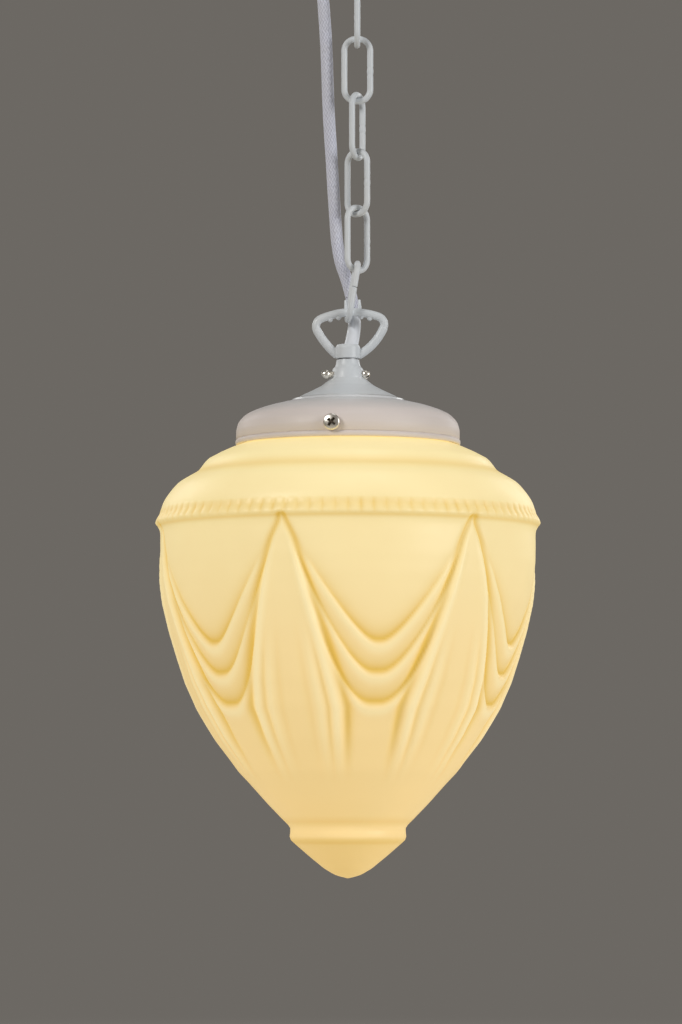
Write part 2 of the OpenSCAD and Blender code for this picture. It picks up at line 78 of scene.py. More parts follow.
MM = 0.001
LINKS = 6
FULL_RING = 24                              # vertices; a level of a spun CAD node has at least as many
gallery_low, gallery_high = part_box("gallery")
lamp_x = (gallery_low.x + gallery_high.x) / 2
lamp_axis = np.array([lamp_x, 0, 0])


# ---------------------------------------------------------------- camera

CAMERA_DISTANCE = 2.2
CAMERA_BELOW_CEILING = 0.4606
CAMERA_LEFT_OF_LAMP = 0.0034
CAMERA_PITCH = math.radians(4.05)
CAMERA_LENS = 157.9                         # mm, on a 36 mm sensor


def add_camera():
    data = bpy.data.cameras.new("camera")
    data.lens = CAMERA_LENS
    data.sensor_width = 36
    data.clip_end = 50
    camera = bpy.data.objects.new("camera", data)
    camera.location = (lamp_x - CAMERA_LEFT_OF_LAMP, -CAMERA_DISTANCE, -CAMERA_BELOW_CEILING)
    camera.rotation_euler = (math.pi / 2 + CAMERA_PITCH, 0, 0)
    bpy.context.scene.collection.objects.link(camera)
    bpy.context.scene.camera = camera


# ------------------------------------------------------- shape functions


def smoothstep(low, high, x):
    t = np.clip((x - low) / (high - low), 0, 1)
    return t * t * (3 - 2 * t)


def unit(v):
    v = np.asarray(v, float)
    return v / np.linalg.norm(v, axis=-1, keepdims=True)


def smooth_line(points, steps):
    """The points on one smooth curve, with that many steps between neighbours."""
    p = np.asarray(points, float)
    padded = np.vstack([p[:1], p, p[-1:]])
    t = (np.arange(steps) / steps)[:, None]
    spans = []
    for a, b, c, d in zip(padded, padded[1:], padded[2:], padded[3:]):
        cubic = (3 * b - a - 3 * c + d) * t ** 3
        spans.append((2 * b + (c - a) * t + (2 * a - 5 * b + 4 * c - d) * t ** 2 + cubic) / 2)
    return np.vstack(spans + [p[-1:]])


def lengths_along(line):
    steps = np.linalg.norm(np.diff(line, axis=0), axis=1)
    return np.concatenate([[0], np.cumsum(steps)])


def at_lengths(line, wanted):
    """The points of a line at those distances along it."""
    along = lengths_along(line)
    return np.stack([np.interp(wanted, along, axis) for axis in line.T], axis=1)


def tube_rings(line, radii, sides, start, loop=False):
    """Rings of points round a line, which turn as little as they can; start is the first side."""
    if loop:
        along = unit(np.roll(line, -1, 0) - np.roll(line, 1, 0))
    else:
        along = unit(np.gradient(line, axis=0))
    side, normals = np.asarray(start, float), []
    for direction in along:
        side = unit(side - direction * (side @ direction))
        normals.append(side)
    normals = np.array(normals)
    across = np.cross(along, normals)
    turn = np.linspace(0, 2 * math.pi, sides, endpoint=False)[None, :, None]
    radii = np.broadcast_to(radii, len(line))[:, None, None]
    return line[:, None] + radii * (np.cos(turn) * normals[:, None] + np.sin(turn) * across[:, None])


def spun_rings(outline, sides):
    """Rings round the lamp's axis from [radius, height] points. The first side is the front."""
    outline = np.asarray(outline, float)
    turn = np.linspace(0, 2 * math.pi, sides, endpoint=False)
    around = np.stack([np.sin(turn), -np.cos(turn), np.zeros(sides)], axis=1)
    rings = outline[:, 0][:, None, None] * around[None]
    rings[:, :, 2] = outline[:, 1][:, None]
    return rings + lamp_axis


def skin(name, rings, loop=False, sharp=None):
    """A closed mesh over rings of points. They join in a loop, or a point closes each end."""
    rings = np.asarray(rings, float)
    count, sides = rings.shape[:2]
    points = rings.reshape(-1, 3)
    index = np.arange(count * sides).reshape(count, sides)
    here, there = (index, np.roll(index, -1, 0)) if loop else (index[:-1], index[1:])
    corners = [here, np.roll(here, -1, 1), np.roll(there, -1, 1), there]
    faces = np.stack(corners, axis=-1).reshape(-1, 4).tolist()
    if not loop:
        for ring, pole in ((index[0][::-1], len(points)), (index[-1], len(points) + 1)):
            faces += [[a, b, pole] for a, b in zip(ring.tolist(), np.roll(ring, -1).tolist())]
        points = np.vstack([points, rings[0].mean(0), rings[-1].mean(0)])
    mesh = bpy.data.meshes.new(name)
    mesh.from_pydata(points.tolist(), [], faces)
    return add_piece(name, mesh, sharp)


def add_piece(name, mesh, sharp=None):
    """The mesh as a smooth-shaded object with its faces outward; edges over sharp degrees stay crisp."""
    work = bmesh.new()
    work.from_mesh(mesh)
    bmesh.ops.recalc_face_normals(work, faces=work.faces)
    work.to_mesh(mesh)
    work.free()
    mesh.shade_smooth()
    if sharp:
        mesh.set_sharp_from_angle(angle=math.radians(sharp))
    piece = bpy.data.objects.new(name, mesh)
    bpy.context.scene.collection.objects.link(piece)
    return piece


def evaluated(rough, *helpers):
    """A new piece with the modifiers of the rough one applied. The rough one and its helpers go."""
    bpy.context.view_layer.update()
    mesh = bpy.data.meshes.new_from_object(rough.evaluated_get(bpy.context.evaluated_depsgraph_get()))
    name = rough.name
    for used in (rough, *helpers):
        bpy.data.objects.remove(used)
    return add_piece(name, mesh, sharp=50)


def store(piece, name, values):
    """Keeps one number, or one vector, per point of the piece for its material."""
    values = np.asarray(values, np.float32)
    kind, key = ("FLOAT", "value") if values.ndim == 1 else ("FLOAT_VECTOR", "vector")
    piece.data.attributes.new(name, kind, "POINT").data.foreach_set(key, values.ravel())


def points_of(node):
    return np.array([v.co for v in nodes[node].data.vertices])


def outline_of(node):
    """[radius, height] points down the outside of a spun CAD node."""
    mesh = nodes[node].data
    tree = BVHTree.FromPolygons([v.co for v in mesh.vertices], [p.vertices for p in mesh.polygons])
    points = points_of(node) - lamp_axis
    radii = np.hypot(points[:, 0], points[:, 1])
    outline = []
    for height in sorted(set(np.round(points[:, 2], 6)), reverse=True):
        level = np.abs(points[:, 2] - height) < 2e-6
        if level.sum() < FULL_RING:
            continue
        ring = radii[level].max()
        hit = tree.ray_cast(Vector((lamp_x + 1, 0, height)), Vector((-1, 0, 0)))[0]
        if hit is None or hit.x - lamp_x < ring + 0.1 * MM:
            outline.append([ring, height])
    return np.array(outline)


def moved_out(outline, amount):
    """An outline moved across its own direction: outwards, or inwards by a negative amount."""
    slope = unit(np.gradient(outline, axis=0))
    return outline + np.stack([-slope[:, 1], slope[:, 0]], axis=1) * np.reshape(amount, (-1, 1))


def finish_piece(piece, body, material, slot, *stands_for):
    """Gives a piece its material, its body and the CAD nodes it stands for."""
    piece.data.materials.clear()
    piece.data.materials.append(material)
    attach(piece, body)
    if stands_for:
        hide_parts(*stands_for)


# ------------------------------------------------------------- materials


def new_material(name):
    material = bpy.data.materials.new(name)
    material.use_nodes = True
    tree = material.node_tree
    return material, tree, tree.nodes["Principled BSDF"]


def add(tree, kind, inputs=None, **settings):
    """A node with its settings and inputs; an input is a number, a colour or another node's output."""
    made = tree.nodes.new(kind)
    for key, value in settings.items():
        setattr(made, key, value)
    for key, value in (inputs or {}).items():
        if isinstance(value, bpy.types.NodeSocket):
            tree.links.new(value, made.inputs[key])
        else:
            made.inputs[key].default_value = value
    return made


def calc(tree, operation, a, b=0.0):
    return add(tree, "ShaderNodeMath", {0: a, 1: b}, operation=operation).outputs[0]


def place(tree):
    return add(tree, "ShaderNodeTexCoord").outputs["Object"]


def noise(tree, size, detail=3.0, rough=0.5, stretch=None):
    """Noise with spots of about that size in metres, from 0 to 1."""
    where = place(tree)
    if stretch:
        where = add(tree, "ShaderNodeMapping", {"Vector": where, "Scale": stretch}).outputs[0]
    inputs = {"Vector": where, "Scale": 1 / size, "Detail": detail, "Roughness": rough}
    return add(tree, "ShaderNodeTexNoise", inputs).outputs["Fac"]


def remap(tree, value, low, high, to_low, to_high):
    inputs = {"Value": value, "From Min": low, "From Max": high, "To Min": to_low, "To Max": to_high}
    return add(tree, "ShaderNodeMapRange", inputs).outputs[0]


def blend_colours(tree, share, first, second):
    inputs = {"Factor": share}
    mixed = add(tree, "ShaderNodeMix", inputs, data_type="RGBA")
    for socket, colour in (("A_Color", first), ("B_Color", second)):
        slot = next(s for s in mixed.inputs if s.identifier == socket)
        if isinstance(colour, bpy.types.NodeSocket):
            tree.links.new(colour, slot)
        else:
            slot.default_value = (*colour, 1)
    return next(s for s in mixed.outputs if s.identifier == "Result_Color")


def bump(tree, height, depth, strength=1.0, under=None):
    """A bump that stands that deep in metres where the height goes from 0 to 1."""
    inputs = {"Height": height, "Distance": depth, "Strength": strength}
    if under is not None:
        inputs["Normal"] = under
    return add(tree, "ShaderNodeBump", inputs).outputs[0]


def painted_metal():
    """White enamel: faint orange peel and a little dust; lower down, near the lit glass, duller and with a painted
    warm glow standing in for the glass's light on it.

    A narrow ring at the gallery's crease is polished, so that it catches the lights."""
    material, tree, shader = new_material("white_paint")
    patches = remap(tree, noise(tree, 22 * MM, 4), 0.35, 0.7, 0, 1)
    specks = remap(tree, noise(tree, 0.5 * MM, 2), 0.62, 0.8, 0, 0.12)
    height = add(tree, "ShaderNodeSeparateXYZ", {0: place(tree)}).outputs[2]
    # Painted glow: below the crease the paint turns lighter and warmer, to the colour two lines down, in place of
    # the lit glass's light falling on it.
    painted_glow_zone = remap(tree, height, gallery_high.z - 9 * MM, gallery_high.z - 20 * MM, 0, 1)
    paint = blend_colours(tree, patches, (0.71, 0.75, 0.785), (0.735, 0.76, 0.78))
    paint = blend_colours(tree, painted_glow_zone, paint, (0.79, 0.71, 0.67))
    dusty = blend_colours(tree, specks, paint, (0.56, 0.55, 0.52))
    tree.links.new(dusty, shader.inputs["Base Color"])
    polish = remap(tree, noise(tree, 9 * MM, 3), 0.3, 0.7, 0.32, 0.42)
    satin = calc(tree, "ADD", polish, calc(tree, "MULTIPLY", painted_glow_zone, 0.2))
    tree.links.new(satin, shader.inputs["Roughness"])
    peel = bump(tree, noise(tree, 2.2 * MM, 2), 0.03 * MM, 0.5)
    grit = bump(tree, noise(tree, 0.5 * MM, 2), 0.012 * MM, 0.4, peel)
    tree.links.new(grit, shader.inputs["Normal"])
    gallery = outline_of("gallery")
    crease_height = gallery[np.argmin(np.abs(gallery[:, 0] - CREASE_R)), 1]
    aside = calc(tree, "ABSOLUTE", calc(tree, "SUBTRACT", height, crease_height))
    tree.links.new(remap(tree, aside, 0.6 * MM, 1.4 * MM, 1, 0.06), shader.inputs["Coat Weight"])
    shader.inputs["Coat Roughness"].default_value = 0.07
    return material


def bare_metal(name, colour, tarnish, rough, grain):
    """Plated or solid metal with drawn lines and dull patches, and painted shade darkening the screws' recesses.
    """
    material, tree, shader = new_material(name)
    dull = remap(tree, noise(tree, 6 * MM, 5, 0.6), 0.42, 0.72, 0, 0.7)
    # Painted shade: the screws' recesses darken towards a near-black brown, and are rougher there.
    painted_recess_shade = add(tree, "ShaderNodeAttribute", attribute_name="painted_recess_shade").outputs["Fac"]
    metal = blend_colours(tree, dull, colour, tarnish)
    tree.links.new(blend_colours(tree, painted_recess_shade, metal, (0.14, 0.12, 0.095)), shader.inputs["Base Color"])
    lines = noise(tree, 0.8 * MM, 3, 0.6, (1, 1, 9))
    low, high = rough
    brushed = remap(tree, lines, 0.3, 0.7, low, high)
    recess_roughness = calc(tree, "MULTIPLY", painted_recess_shade, 0.7)
    tree.links.new(calc(tree, "MAXIMUM", brushed, recess_roughness), shader.inputs["Roughness"])
    tree.links.new(bump(tree, lines, grain, 0.5), shader.inputs["Normal"])
    shader.inputs["Metallic"].default_value = 1
    return material


def moulded(name, colour, shade, rough, sheen_coat=0.0):
    """Moulded plastic or glazed clay: flow marks, fine grain and rubbed patches."""
    material, tree, shader = new_material(name)
    flow = remap(tree, noise(tree, 7 * MM, 4, 0.55, (1, 1, 0.35)), 0.35, 0.7, 0, 1)
    tree.links.new(blend_colours(tree, flow, colour, shade), shader.inputs["Base Color"])
    low, high = rough
    tree.links.new(remap(tree, noise(tree, 3 * MM, 3), 0.3, 0.7, low, high), shader.inputs["Roughness"])
    tree.links.new(bump(tree, noise(tree, 0.45 * MM, 3), 0.012 * MM, 0.5), shader.inputs["Normal"])
    shader.inputs["Coat Weight"].default_value = sheen_coat
    return material


def three_cores():
    """One brown, one blue and one green core, told apart by where they lie across the cup."""
    material, tree, shader = new_material("core_plastic")
    across = add(tree, "ShaderNodeSeparateXYZ", {0: place(tree)}).outputs[0]
    low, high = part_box("cup_cores")
    third = (high.x - low.x) / 3
    past_first = calc(tree, "GREATER_THAN", across, low.x + third)
    past_second = calc(tree, "GREATER_THAN", across, low.x + 2 * third)
    colour = blend_colours(tree, past_first, (0.16, 0.06, 0.025), (0.03, 0.1, 0.42))
    colour = blend_colours(tree, past_second, colour, (0.2, 0.42, 0.04))
    streaks = noise(tree, 2 * MM, 3, 0.5, (1, 1, 0.3))
    worn = blend_colours(tree, remap(tree, streaks, 0.4, 0.8, 0, 0.25), colour, (0.5, 0.48, 0.42))
    tree.links.new(worn, shader.inputs["Base Color"])
    tree.links.new(remap(tree, streaks, 0.3, 0.7, 0.3, 0.42), shader.inputs["Roughness"])
    tree.links.new(bump(tree, streaks, 0.02 * MM, 0.4), shader.inputs["Normal"])
    return material


BRAID_STRANDS = 12
BRAID_PITCH = 1.5 * MM


def braided_cotton():
    """A round braid: strands that run both ways round the flex and pass over and under each other."""
    material, tree, shader = new_material("flex_braid")
    where = add(tree, "ShaderNodeAttribute", attribute_name="braid").outputs["Vector"]
    along, cosine, sine = add(tree, "ShaderNodeSeparateXYZ", {0: where}).outputs[:3]
    round_it = calc(tree, "MULTIPLY", calc(tree, "ARCTAN2", sine, cosine), BRAID_STRANDS)
    down_it = calc(tree, "MULTIPLY", along, math.pi / BRAID_PITCH)
    right, left = calc(tree, "ADD", round_it, down_it), calc(tree, "SUBTRACT", round_it, down_it)
    waves = [calc(tree, "SINE", calc(tree, "MULTIPLY", way, 0.5)) for way in (right, left)]
    strands = [calc(tree, "ABSOLUTE", wave) for wave in waves]
    over = calc(tree, "GREATER_THAN", calc(tree, "MULTIPLY", *waves), 0.0)
    height = calc(tree, "ADD", calc(tree, "MULTIPLY", over, strands[0]),
                  calc(tree, "MULTIPLY", calc(tree, "SUBTRACT", 1.0, over), strands[1]))
    fuzz = noise(tree, 0.35 * MM, 3, 0.6)
    soil = remap(tree, noise(tree, 14 * MM, 4), 0.4, 0.75, 0, 0.5)
    # Painted shade: the yarn is darker where the strands dip between each other and paler on their crowns.
    yarn_with_painted_gap_shade = blend_colours(tree, height, (0.52, 0.535, 0.65), (0.84, 0.855, 0.98))
    tree.links.new(blend_colours(tree, soil, yarn_with_painted_gap_shade, (0.68, 0.68, 0.71)), shader.inputs["Base Color"])
    tree.links.new(remap(tree, fuzz, 0.3, 0.7, 0.62, 0.8), shader.inputs["Roughness"])
    weave = bump(tree, height, 0.22 * MM, 0.8)
    tree.links.new(bump(tree, fuzz, 0.05 * MM, 0.5, weave), shader.inputs["Normal"])
    shader.inputs["Sheen Weight"].default_value = 0.25
    shader.inputs["Sheen Roughness"].default_value = 0.4
    return material


def opal_glass():
    """Amber opal glass, lit from inside: the glow is lighter towards the top and deeper in the valleys."""
    material, tree, shader = new_material("shade_glass")
    low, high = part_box("glass_shade")
    height = add(tree, "ShaderNodeSeparateXYZ", {0: place(tree)}).outputs[2]
    up = remap(tree, height, low.z, high.z, 0, 1)
    valley = add(tree, "ShaderNodeAttribute", attribute_name="valley").outputs["Fac"]
    cloud = remap(tree, noise(tree, 38 * MM, 3, 0.5), 0.35, 0.7, 0, 1)
    lower = blend_colours(tree, up, (0.56, 0.355, 0.095), (0.53, 0.42, 0.195))
    glow = blend_colours(tree, remap(tree, up, 0.5, 1.0, 0, 1), lower, (0.56, 0.475, 0.215))
    mottled = blend_colours(tree, calc(tree, "MULTIPLY", cloud, 0.25), glow, (0.46, 0.33, 0.11))
    # Painted highlight and painted shade in the glow: paler on the ridges, deeper in the valleys.
    lit = blend_colours(tree, calc(tree, "MULTIPLY", valley, -1.0), mottled, (0.60, 0.52, 0.29))
    deep = blend_colours(tree, valley, lit, (0.43, 0.26, 0.03))
    tree.links.new(deep, shader.inputs["Emission Color"])
    shader.inputs["Emission Strength"].default_value = 1.0
    # Painted shade and highlight in the base colour as well: deeper in the valleys, paler on the ridges.
    base_with_painted_shading = blend_colours(tree, valley, (0.60, 0.515, 0.33), (0.50, 0.36, 0.11))
    tree.links.new(base_with_painted_shading, shader.inputs["Base Color"])
    tree.links.new(remap(tree, noise(tree, 12 * MM, 4), 0.3, 0.7, 0.34, 0.46), shader.inputs["Roughness"])
    ripple = bump(tree, noise(tree, 9 * MM, 2), 0.12 * MM, 0.35)
    tree.links.new(bump(tree, noise(tree, 1.3 * MM, 2), 0.02 * MM, 0.4, ripple), shader.inputs["Normal"])
    shader.inputs["Specular IOR Level"].default_value = 0.35
    return material


def clear_glass():
    material, tree, shader = new_material("bulb_glass")
    film = remap(tree, noise(tree, 10 * MM, 3), 0.3, 0.7, 0.02, 0.07)
    tree.links.new(film, shader.inputs["Roughness"])
    smoke = blend_colours(tree, noise(tree, 25 * MM, 2), (1.0, 0.98, 0.93), (0.97, 0.93, 0.85))
    tree.links.new(smoke, shader.inputs["Base Color"])
    tree.links.new(bump(tree, noise(tree, 6 * MM, 2), 0.04 * MM, 0.3), shader.inputs["Normal"])
    shader.inputs["Transmission Weight"].default_value = 0.9
    shader.inputs["IOR"].default_value = 1.48
    return material


def hot_filament():
    material, tree, shader = new_material("filament")
    spots = remap(tree, noise(tree, 1.6 * MM, 3), 0.35, 0.7, 0, 1)
    colour = blend_colours(tree, spots, (1.0, 0.62, 0.2), (1.0, 0.78, 0.4))
    tree.links.new(colour, shader.inputs["Emission Color"])
    tree.links.new(colour, shader.inputs["Base Color"])
    tree.links.new(bump(tree, spots, 0.05 * MM, 0.5), shader.inputs["Normal"])
    shader.inputs["Emission Strength"].default_value = 2.5
    return material


def make_materials():
    return {
        "white_paint": painted_metal(),
        "zinc_steel": bare_metal("zinc_steel", (0.5, 0.51, 0.53), (0.36, 0.36, 0.35), (0.46, 0.62),
                                 0.02 * MM),
        # The chrome's warm tint, in both its colours, is a painted reflection of the lit glass.
        "chrome": bare_metal("chrome", (0.92, 0.88, 0.80), (0.78, 0.72, 0.62), (0.24, 0.38), 0.006 * MM),
        "brass": bare_metal("brass", (0.80, 0.58, 0.26), (0.48, 0.31, 0.13), (0.2, 0.36), 0.015 * MM),
        "gland_plastic": moulded("gland_plastic", (0.62, 0.63, 0.62), (0.55, 0.55, 0.53), (0.4, 0.55)),
        "sleeve_plastic": moulded("sleeve_plastic", (0.86, 0.89, 0.94), (0.8, 0.83, 0.88), (0.32, 0.45)),
        "block_plastic": moulded("block_plastic", (0.72, 0.66, 0.52), (0.62, 0.56, 0.43), (0.36, 0.5)),
        "holder_plastic": moulded("holder_plastic", (0.70, 0.64, 0.48), (0.6, 0.53, 0.38), (0.2, 0.34),
                                  0.4),
        "porcelain": moulded("porcelain", (0.84, 0.82, 0.76), (0.76, 0.73, 0.66), (0.12, 0.24), 0.6),
        "core_plastic": three_cores(),
        "core_brown": moulded("core_brown", (0.16, 0.06, 0.025), (0.11, 0.04, 0.02), (0.3, 0.42)),
        "core_blue": moulded("core_blue", (0.03, 0.1, 0.42), (0.02, 0.07, 0.3), (0.3, 0.42)),
        "core_green": moulded("core_green", (0.2, 0.42, 0.04), (0.5, 0.5, 0.03), (0.3, 0.42)),
        "flex_braid": braided_cotton(),
        "shade_glass": opal_glass(),
        "bulb_black": moulded("bulb_black", (0.02, 0.02, 0.024), (0.05, 0.05, 0.055), (0.12, 0.25), 0.5),
        "bulb_glass": clear_glass(),
        "filament": hot_filament(),
    }


# ----------------------------------------------------------------- flex

FLEX_D = 6 * MM
FLEX_ROUTE = MM * np.array([
    (-19, 4, -18), (-18.6, 4, -32), (-17.2, 4.4, -46), (-16.2, 5, -59), (-15.6, 5.5, -68),
    (-15.1, 6, -78), (-14.8, 6.4, -87), (-14.5, 6.8, -96), (-14.1, 7, -106), (-13.6, 7.2, -115),
    (-13, 7.5, -124), (-12.4, 7.8, -134), (-11.9, 8.1, -143), (-11.3, 8.6, -152),
    (-10.6, 9.2, -162), (-9.8, 10, -171), (-8.2, 11.2, -180), (-5.3, 12.2, -188.5),
    (-2.9, 12.5, -197.5), (-2, 11.3, -205), (-1.4, 8.6, -211), (-2, 4.9, -217),
    (-3, 1.5, -222.2), (-3.8, 0.2, -225),
])
FLEX_CUTS = [0, 3, 6, 9, 12, 15, 18, 23]    # first and last route point of each length
FLEX_LAP = 6 * MM                           # how far a length runs on inside its neighbour
FLEX_TUCK = 0.3 * MM                        # how much thinner it is there
FLEX_SIDES = 24
FLEX_RING_STEP = 0.8 * MM
ROUTE_STEPS = 16
SLEEVE_FROM, SLEEVE_TO = 19.62, 22.6        # where the sleeve starts and ends, in route points
SLEEVE_RADII = MM * np.array([3.15, 3.45])


def add_flex(materials):
    """The braided flex in one length per chain joint."""
    line = smooth_line(FLEX_ROUTE, ROUTE_STEPS)
    along = lengths_along(line)
    cuts = [along[i * ROUTE_STEPS] for i in FLEX_CUTS]
    sleeve_ends = [np.interp(i * ROUTE_STEPS, np.arange(len(along)), along)
                   for i in (SLEEVE_FROM, SLEEVE_TO)]
    for k, (start, end) in enumerate(zip(cuts, cuts[1:]), start=1):
        first, last = max(start - FLEX_LAP, 0), min(end + FLEX_LAP, along[-1])
        wanted = np.arange(first, last, FLEX_RING_STEP)
        edges = [start - FLEX_TUCK, start, end, end + FLEX_TUCK, last]
        wanted = np.unique(np.concatenate([wanted, np.clip(edges, first, last)]))
        path = at_lengths(line, wanted)
        tucked = np.maximum(start - wanted, wanted - end).clip(0, FLEX_TUCK)
        rings = tube_rings(path, FLEX_D / 2 - tucked, FLEX_SIDES, (1, 0, 0))
        piece = skin(f"flex_length_{k}", rings)
        turn = np.tile(np.linspace(0, 2 * math.pi, FLEX_SIDES, endpoint=False), len(path))
        braid = np.stack([np.repeat(wanted, FLEX_SIDES), np.cos(turn), np.sin(turn)], axis=1)
        ends = [[wanted[0], 1, 0], [wanted[-1], 1, 0]]
        store(piece, "braid", np.vstack([braid, ends]))
        piece.data.materials.append(materials["flex_braid"])
        bend_together, with_pieces = [piece], []
        if k == 1:
            with_pieces = [nodes["cup_gland"]]
        if k == len(FLEX_CUTS) - 1:
            with_pieces = [add_sleeve(line, sleeve_ends, materials)]
            bend_together += with_pieces
        for bending in bend_together:
            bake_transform(bending)
        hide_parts(f"flex_{k}")


def add_sleeve(line, ends, materials):
    """Smooth sleeve on the last of the flex: rounded at its top, wider where it enters the collar."""
    start, end = ends
    rounded = MM * np.array([0, 0.12, 0.3, 0.6])
    wanted = np.concatenate([start + rounded, np.arange(start + 1.2 * MM, end, MM), [end]])
    lip = np.interp(wanted - start, rounded, [0.16, 0.08, 0.02, 0])
    radii = np.interp(wanted, ends, SLEEVE_RADII) - lip * MM
    sleeve = skin("entry_sleeve", tube_rings(at_lengths(line, wanted), radii, 32, (1, 0, 0)), sharp=50)
    sleeve.data.materials.append(materials["sleeve_plastic"])
    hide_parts("flex_sleeve")
    return sleeve


# ---------------------------------------------------------------- chain

WIRE_R = 1.5 * MM
LINK_BOW = 1 * MM                           # short straight stretch at each end of a link
LINK_GAP = 0.35 * MM                        # between the wire ends of the open link
GAP_DROP = 9.1 * MM                         # from the open link's pivot down to that gap
LINK_SIDES = 20
LEG_STEPS = 14
WELD_SWELL = 0.07                           # how much the wire swells at a link's weld


def link_line(width, length, arc_steps=20):
    """A link's wire from the middle of one leg, down and round: [across, down] points."""
    bend = (width - LINK_BOW) / 2
    turn = np.linspace(0, math.pi, arc_steps)
    across = np.cos(turn) * bend
    across = across + np.where(np.arange(arc_steps) < arc_steps / 2, LINK_BOW, -LINK_BOW) / 2
    down = np.sin(turn) * bend
    bottom = np.stack([across, length - bend + down], axis=1)
    top = np.stack([-across, bend - down], axis=1)
    straight = np.linspace(length - bend, bend, LEG_STEPS + 2)[1:-1]
    left = np.stack([np.full(LEG_STEPS, -width / 2), straight], axis=1)
    right = np.stack([np.full(LEG_STEPS, width / 2), straight[::-1]], axis=1)
    line = np.vstack([bottom, left, top, right])
    return np.roll(line, LEG_STEPS // 2, axis=0)


def add_chain(materials):
    low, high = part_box("link_2")
    width = high.x - low.x - 2 * WIRE_R
    for k in range(1, LINKS + 1):
        below = joints[f"link_{k + 1}_swing" if k < LINKS else "lamp_swing"]
        bottom = np.array(below["pos_m"])
        top = np.array([0, 0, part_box(f"link_{k}")[1].z - WIRE_R])
        length = np.linalg.norm(bottom - top)
        across, down = np.array(below["axis"]), (bottom - top) / length
        flat = link_line(width, length)
        line = top + flat[:, :1] * across + flat[:, 1:] * down
        normal = np.cross(across, down)
        if k < LINKS:
            piece = welded_link(f"chain_link_{k}", line, normal)
        else:
            piece = open_link(line, normal)
        finish_piece(piece, f"link_{k}", materials["white_paint"], "white_paint", f"link_{k}")


def welded_link(name, line, normal):
    """A closed link: the wire swells a little at its weld, with a groove on each side."""
    closed = np.vstack([line, line[:1]])
    total = lengths_along(closed)[-1]
    wanted = np.linspace(0, total, 180, endpoint=False)
    weld = np.minimum(wanted, total - wanted)
    radii = WIRE_R * (1 + WELD_SWELL * np.exp(-(weld / (0.9 * MM)) ** 2))
    radii = radii - 0.12 * MM * np.exp(-((weld - 1.9 * MM) / (0.35 * MM)) ** 2)
    rings = tube_rings(at_lengths(closed, wanted), radii, LINK_SIDES, normal, loop=True)
    return skin(name, rings, loop=True)


def open_link(line, normal):
    """The last link: its two wire ends meet with a fine gap in the front leg, their edges rounded off."""
    gap_height = joints["link_6_swing"]["pos_m"][2] - GAP_DROP
    front = np.argmin(np.abs(line[:, 2] - gap_height) + (line[:, 1] > 0))
    line = np.roll(line, -front, axis=0)
    closed = np.vstack([line, line[:1]])
    total = lengths_along(closed)[-1]
    edge = MM * np.array([0, 0.03, 0.1, 0.22, 0.4])
    wanted = np.concatenate([LINK_GAP / 2 + edge, np.linspace(1.2 * MM, total - 1.2 * MM, 170),
                             total - LINK_GAP / 2 - edge[::-1]])
    from_end = np.minimum(wanted, total - wanted) - LINK_GAP / 2
    radii = WIRE_R - MM * np.interp(from_end, edge, [0.4, 0.22, 0.1, 0.03, 0])
    rings = tube_rings(at_lengths(closed, wanted), radii, LINK_SIDES, normal)
    return skin("chain_link_6", rings, sharp=60)


# ------------------------------------------------------- cast hook loop


def remeshed(name, node, voxel, passes):
    """A CAD node's shape as a casting: one skin, with every inside corner a soft fillet."""
    mesh = nodes[node].data.copy()
    work = bmesh.new()
    work.from_mesh(mesh)
    bmesh.ops.remove_doubles(work, verts=work.verts, dist=1e-6)
    work.to_mesh(mesh)
    work.free()
    rough = bpy.data.objects.new(name, mesh)
    bpy.context.scene.collection.objects.link(rough)
    remesh = rough.modifiers.new("remesh", "REMESH")
    remesh.mode, remesh.voxel_size = "VOXEL", voxel
    smooth = rough.modifiers.new("smooth", "SMOOTH")
    smooth.factor, smooth.iterations = 0.5, passes
    return evaluated(rough)


# ------------------------------------------------- spun metal and screws

SHEET = 1 * MM
CREASE_R = 28 * MM                          # where the gallery's cone meets its shoulder
CREASE_STEP = 0.42                          # how far the sheet steps to each side there, in mm
BORE_GAP = 0.1 * MM                         # between the nipple and the holes it passes through
HOLE_GAP = 0.05 * MM                        # between a screw and its hole
NECK_SCREW_AZIMUTHS = (205, 338, 98)        # degrees from +X
NECK_HEAD_DEEPER = 0.9 * MM                 # than the CAD's plain head
SCREW_SIDES = 60
RECESS_TURN = math.radians(38)
THREAD_PITCH = 0.7 * MM
THREAD_DEPTH = 0.25 * MM
# The rolled hem: [out from the skirt, above the rim], from the groove over it round to the inside
HEM = MM * np.array([
    (0, 3.1), (-0.1, 2.95), (-0.35, 2.8), (-0.35, 2.55), (0.05, 2.35), (0.3, 2), (0.4, 1.5), (0.4, 0.9),
    (0.25, 0.35), (-0.1, 0.05), (-0.6, 0), (-1, 0.25), (-1.15, 0.7), (-1.05, 1.4), (-1, 2.2),
])


def lathe(name, outline, sides):
    """A spun ring on the lamp's axis, from its closed outline."""
    return skin(name, spun_rings(outline, sides), loop=True, sharp=40)


def drilled(piece, directions, height, radius, start, end):
    """The piece with a round hole along each direction."""
    turn = np.linspace(0, 2 * math.pi, 48, endpoint=False)
    cutters = []
    for direction in directions:
        side = np.array([-direction[1], direction[0], 0])
        circle = radius * (np.cos(turn)[:, None] * side + np.sin(turn)[:, None] * np.array([0, 0, 1]))
        ends = np.array([start, end])[:, None, None] * direction
        cutters.append(skin("hole", ends + circle[None] + lamp_axis + [0, 0, height]))
        hole = piece.modifiers.new("hole", "BOOLEAN")
        hole.operation, hole.object = "DIFFERENCE", cutters[-1]
    return evaluated(piece, *cutters)


def nipple_bore():
    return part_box("nipple")[1].x - lamp_x + BORE_GAP


